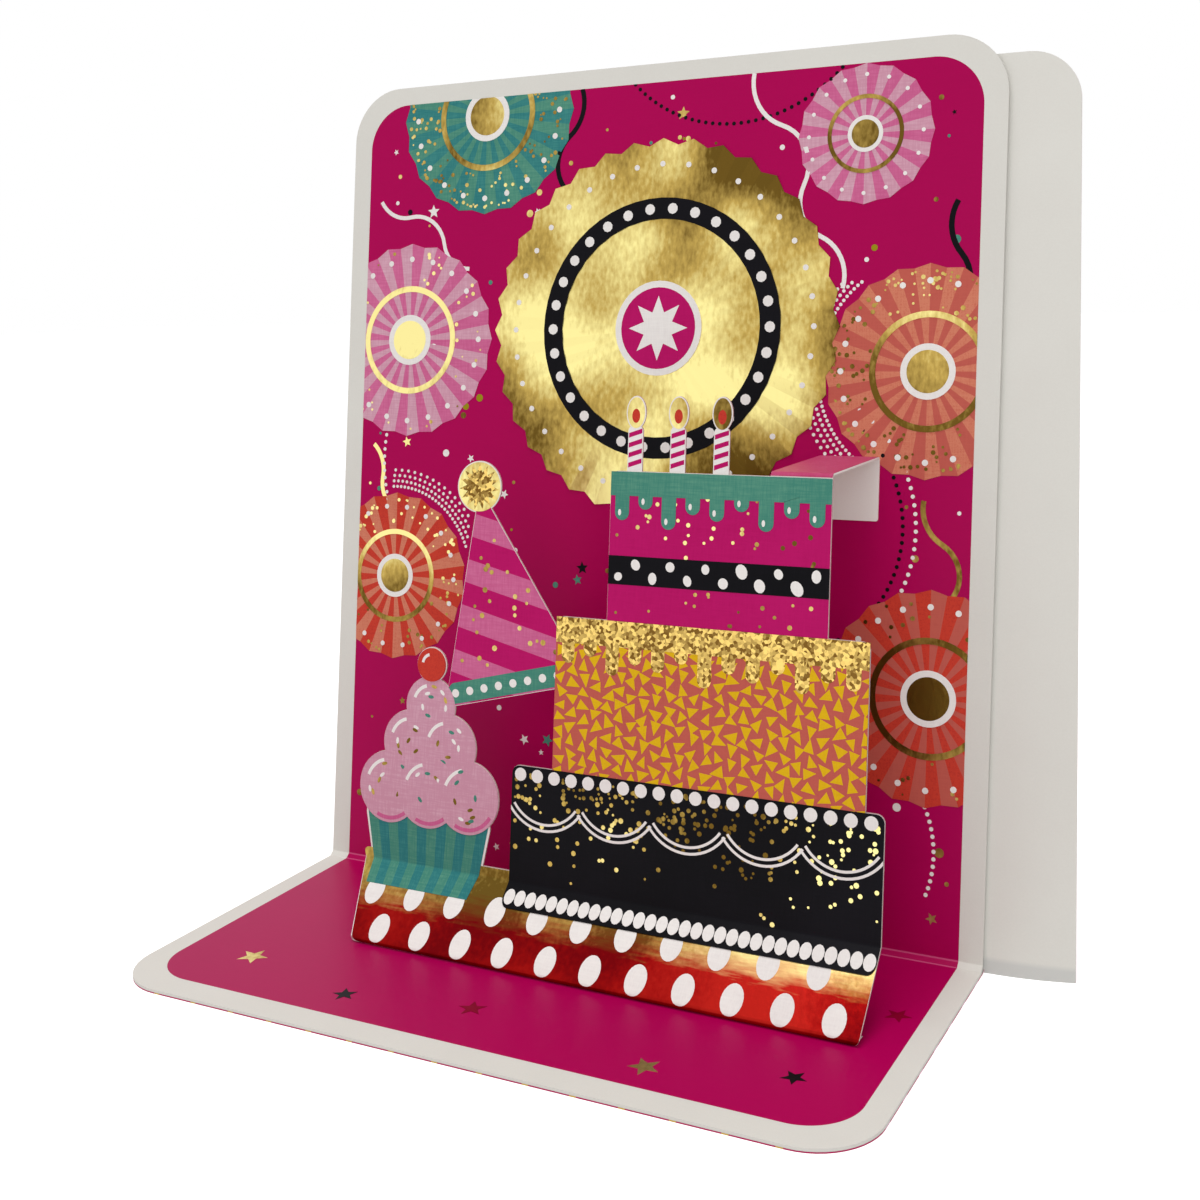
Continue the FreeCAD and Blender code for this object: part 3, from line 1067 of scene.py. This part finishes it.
# %% Bottom tier
bottom_left = 64.0 + edge_gap
bottom_right = cloth_right - edge_gap
bottom_tier = bmesh.new()
block(bottom_tier, bottom_left, bottom_right, 9.1, 36.0 - edge_gap, 13, 0, 1.55)
for spot in range(280):
    x = speckle.uniform(bottom_left + 0.8, bottom_right - 0.8)
    height = 34.5 - abs(speckle.gauss(0.0, 1.0)) * 7.0
    size = speckle.uniform(0.22, 0.55)
    if height > 13.5:
        disc(bottom_tier, x, height, size, 14, 1, 8)
for swag in range(5):
    x = 71.7 + swag * 15.3
    for inner in (8.2, 9.4):
        arc_band(bottom_tier, x, 33.5, inner, inner + 0.5, 215, 325, 16, 2, 18)
for bead in range(32):
    disc(bottom_tier, 65.5 + bead * 2.38, 10.7, 1.15, 16, 2, 14)
for bead in range(20):
    disc(bottom_tier, 66.0 + bead * 3.8, 34.3, 1.3, 18, 2, 16)
trim(bottom_tier, (bottom_left, 0.0), (-1.0, 0.0))
trim(bottom_tier, (bottom_right, 0.0), (1.0, 0.0))
finish_piece("bottom_tier", bottom_tier, None, [black_ink, gold_foil, white_ink])

# %% [markdown]
# ## Candles, cupcake and party hat
# These stand free of the cake's outline, so their films follow the same discs, blocks and cone as
# the die-cut edge, a little smaller. Stripes are cut into a shape with planes, and tinted in turn.

# %% Candles
candle_half_width = 1.4
candles = bmesh.new()
for candle in range(3):
    x = 89.0 + candle * 9.0
    left = x - candle_half_width
    right = x + candle_half_width
    block(candles, left, right, 95.0, 103.3, 0, 0, 1.0)
    for stripe in range(4):
        low = 95.4 + stripe * 1.9
        rise = ((left, low), (right, low + 0.9), (right, low + 1.8), (left, low + 0.9))
        panelling(candles, rise, 1, 1)
    disc(candles, x, 105.9, 1.85, 2, 2, 24, 1.6)
    disc(candles, x, 105.3, 0.85, 3, 3, 18, 1.6)
candle_inks = [white_ink, magenta_ink, gold_foil, coral_ink]
finish_piece("candles", candles, None, candle_inks)

# %% Party hat
hat_left = Vector((47.5, 45.5))
hat_right = Vector((80.5, 53.5))
hat_height = 42.2
stripe_height = 4.6
hat_base = (hat_left + hat_right) / 2
hat_across = (hat_right - hat_left).normalized()
hat_axis = Vector((-hat_across.y, hat_across.x))
hat_tip = hat_base + hat_axis * hat_height
hat_half_width = (hat_right - hat_left).length / 2 - edge_gap
slant = (hat_axis + hat_across * 0.5).normalized()


def on_hat(side, rise):
    """A place on the cone: from side to side, and how far up from its base in millimetres."""
    narrowing = 1 - rise / hat_height
    return hat_base + hat_axis * rise + hat_across * side * hat_half_width * narrowing


hat = bmesh.new()
panelling(hat, (on_hat(-1, 0.1), on_hat(1, 0.1), on_hat(0, 41.9)), 0, 0, 1.5)
for stripe in range(-2, 12):
    cut(hat, hat_base + slant * stripe * stripe_height, slant)
for face in hat.faces:
    rise = (face.calc_center_median().xy - hat_base).dot(slant)
    face.material_index = math.floor(rise / stripe_height) % 2
band = (on_hat(-0.99, 0.4), on_hat(0.99, 0.4), on_hat(0.99, 4.6), on_hat(-0.99, 4.6))
panelling(hat, band, 2, 4, 1.1)
for bead in range(9):
    disc(hat, *on_hat((bead - 4) / 4.6, 2.5), 0.85, 3, 5, 14)
for spot in range(26):
    rise = 6.0 + speckle.random() * 26.0
    place = on_hat(speckle.uniform(-0.85, 0.85), rise)
    disc(hat, *place, speckle.uniform(0.3, 0.6), 2, 2, 8)
disc(hat, *hat_tip, 4.95, 3, 2, 36)
star(hat, *hat_tip, 4.7, 4, 3, 15, 0.62)
hat_inks = [rose_ink, magenta_ink, gold_foil, gold_glitter, teal_ink, white_ink]
finish_piece("party_hat", hat, None, hat_inks)

# %% Cupcake
cupcake_centre = 44.0
case_pleats = 12
case_bottom, case_half_bottom = 9.2, 12.2
case_top, case_half_top = 23.8, 14.9


def on_case(side):
    """The foot and the top of a pleat's edge, from side to side of the case."""
    low = Vector((cupcake_centre + case_half_bottom * side, case_bottom))
    return low, Vector((cupcake_centre + case_half_top * side, case_top))


cupcake = bmesh.new()
panelling(cupcake, (*on_case(-1), *reversed(on_case(1))), 4)
for pleat in range(1, case_pleats):
    low, high = on_case(pleat / case_pleats * 2 - 1)
    cut(cupcake, low, (high - low).orthogonal())
pleats = sorted(cupcake.faces, key=lambda face: face.calc_center_median().x)
for pleat, face in enumerate(pleats):
    face.material_index = pleat % 2
icing_rows = ((1, 0.0, 45.5, 6.0), (2, 9.0, 37.5, 6.8), (3, 9.6, 28.0, 7.4))
lobe_layer = 5
for lobes, spacing, height, radius in icing_rows:
    for lobe in range(lobes):
        x = cupcake_centre + spacing * (lobe - (lobes - 1) / 2)
        disc(cupcake, x, height, radius - edge_gap, lobe_layer, 2, 44)
        arc_band(cupcake, x, height, radius - 1.4, radius - 0.6, 245, 330, lobe_layer + 1, 4, 14)
        arc_band(cupcake, x, height, radius - 2.2, radius - 1.5, 105, 160, lobe_layer + 1, 3, 12)
        for sprinkle in range(9):
            angle = speckle.uniform(0.0, 2 * math.pi)
            reach = (radius - 1.8) * math.sqrt(speckle.random())
            spot = (x + reach * math.cos(angle), height + reach * math.sin(angle))
            disc(cupcake, *spot, 0.36, lobe_layer + 1, speckle.choice((5, 5, 3, 0)), 8, 2.0, angle)
        lobe_layer += 2
disc(cupcake, cupcake_centre, 53.9, 3.4, lobe_layer, 6, 32)
arc_band(cupcake, cupcake_centre, 53.9, 1.8, 2.4, 105, 170, lobe_layer + 1, 3, 10)
cupcake_inks = [teal_ink, deep_teal_ink, pink_ink, white_ink, rose_ink, gold_foil, coral_ink]
finish_piece("cupcake", cupcake, None, cupcake_inks)

# %% [markdown]
# ## The strap
# The strap bends back from the top of the cake to the panel. Its print goes round the fold and ends
# at the panel, where the glue tab stays bare. One edge makes it: spun round the fold and then
# pulled back, and the strip gets its thickness last.

# %% Strap print
strap_left = 117.0
film = 0.05
tab_gap = 0.4
strap_print = bmesh.new()
rise = strap_height / math.cos(lean)
strap_setback = fold_radius * math.tan(math.pi / 4 - lean / 2)
up_layer = Vector((0.0, math.sin(lean), math.cos(lean)))
front_of_layer = Vector((0.0, -math.cos(lean), math.sin(lean)))
layer_corner = Vector((0.0, layer_foot, base_top)) + up_layer * rise
fold_start = layer_corner - up_layer * strap_setback
fold_axis = fold_start - front_of_layer * fold_radius
ends = [
    strap_print.verts.new(fold_start + front_of_layer * film + Vector((card_left + x, 0.0, 0.0)))
    for x in (strap_left + edge_gap, strap_right - edge_gap)
]
geometry = ends + [strap_print.edges.new(ends)]
turned = bmesh.ops.spin(
    strap_print,
    geom=geometry,
    cent=fold_axis,
    axis=(1.0, 0.0, 0.0),
    dvec=(0.0, 0.0, 0.0),
    angle=-(math.pi / 2 - lean),
    steps=6,
    use_merge=False,
)
last = [part for part in turned["geom_last"] if isinstance(part, bmesh.types.BMEdge)]
pulled = bmesh.ops.extrude_edge_only(strap_print, edges=last)
far = [part for part in pulled["geom"] if isinstance(part, bmesh.types.BMVert)]
strap_reach = layer_distance - 2 * strap_setback - tab_gap
bmesh.ops.translate(strap_print, vec=(0.0, strap_reach, 0.0), verts=far)
bmesh.ops.recalc_face_normals(strap_print, faces=strap_print.faces[:])
bmesh.ops.solidify(strap_print, geom=strap_print.faces[:], thickness=film)
bmesh.ops.transform(strap_print, matrix=Matrix.Scale(MM, 4), verts=strap_print.verts)
add_piece("strap_print", strap_print, [strap_ink])
print("strap print", round(strap_reach, 2), "mm long on top")
